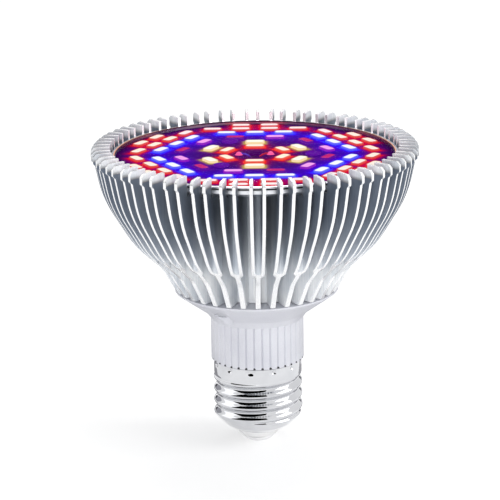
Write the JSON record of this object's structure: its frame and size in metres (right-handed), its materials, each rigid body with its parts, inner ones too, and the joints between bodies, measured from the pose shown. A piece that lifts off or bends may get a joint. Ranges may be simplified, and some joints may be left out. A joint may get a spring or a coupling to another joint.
{
  "type": "grow light bulb",
  "caption": "Screw-in plant lamp: a round board of coloured lamps under a clear cover, set in a bowl of forked cooling fins above a ribbed white housing and a threaded metal cap.",
  "frame": {"origin": "middle of the lowest face of the centre contact, on the lamp's axis", "axes": "+Z along the lamp's axis from the contact to the light, +X to the right and -Y towards the viewer of the picture"},
  "size_m": [0.0948, 0.0948, 0.0905],
  "materials": {
    "turned_aluminium": "bright turned edges, drawn sides",
    "spun_aluminium": "satin",
    "lamp_board": "lit by its own lamps",
    "clear_cover": "clear",
    "screw_steel": "plain",
    "white_plastic": "satin moulded",
    "driver_laminate": "solder mask",
    "ferrite": "matte",
    "winding_tape": "taped",
    "capacitor_sleeve": "shrunk sleeve",
    "resistor_coat": "coated",
    "film_red": "dipped",
    "moulded_black": "moulded",
    "wire_black": "insulated",
    "wire_white": "insulated",
    "wire_red": "insulated",
    "wire_blue": "insulated",
    "nickel_plate": "bright plated",
    "pale_insulator": "plain",
    "contact_metal": "plain"
  },
  "bodies": {
    "root": {"heat_sink": "turned_aluminium", "led_tray": "spun_aluminium", "led_board": "lamp_board", "lens_cover": "clear_cover", "board_screw_1": "screw_steel", "board_screw_2": "screw_steel", "board_screw_3": "screw_steel", "driver_housing": "white_plastic", "housing_screw_1": "screw_steel", "housing_screw_2": "screw_steel", "housing_screw_3": "screw_steel", "driver_board": "driver_laminate", "transformer_core": "ferrite", "transformer_winding": "winding_tape", "input_capacitor": "capacitor_sleeve", "output_capacitor": "capacitor_sleeve", "fuse_resistor": "resistor_coat", "choke": "ferrite", "film_capacitor": "film_red", "bridge_rectifier": "moulded_black", "driver_chip": "moulded_black", "output_diode": "moulded_black", "live_wire": "wire_black", "neutral_wire": "wire_white", "led_lead_positive": "wire_red", "led_lead_negative": "wire_blue", "screw_shell": "nickel_plate", "base_insulator": "pale_insulator", "centre_contact": "contact_metal"}
  },
  "joints": []
}
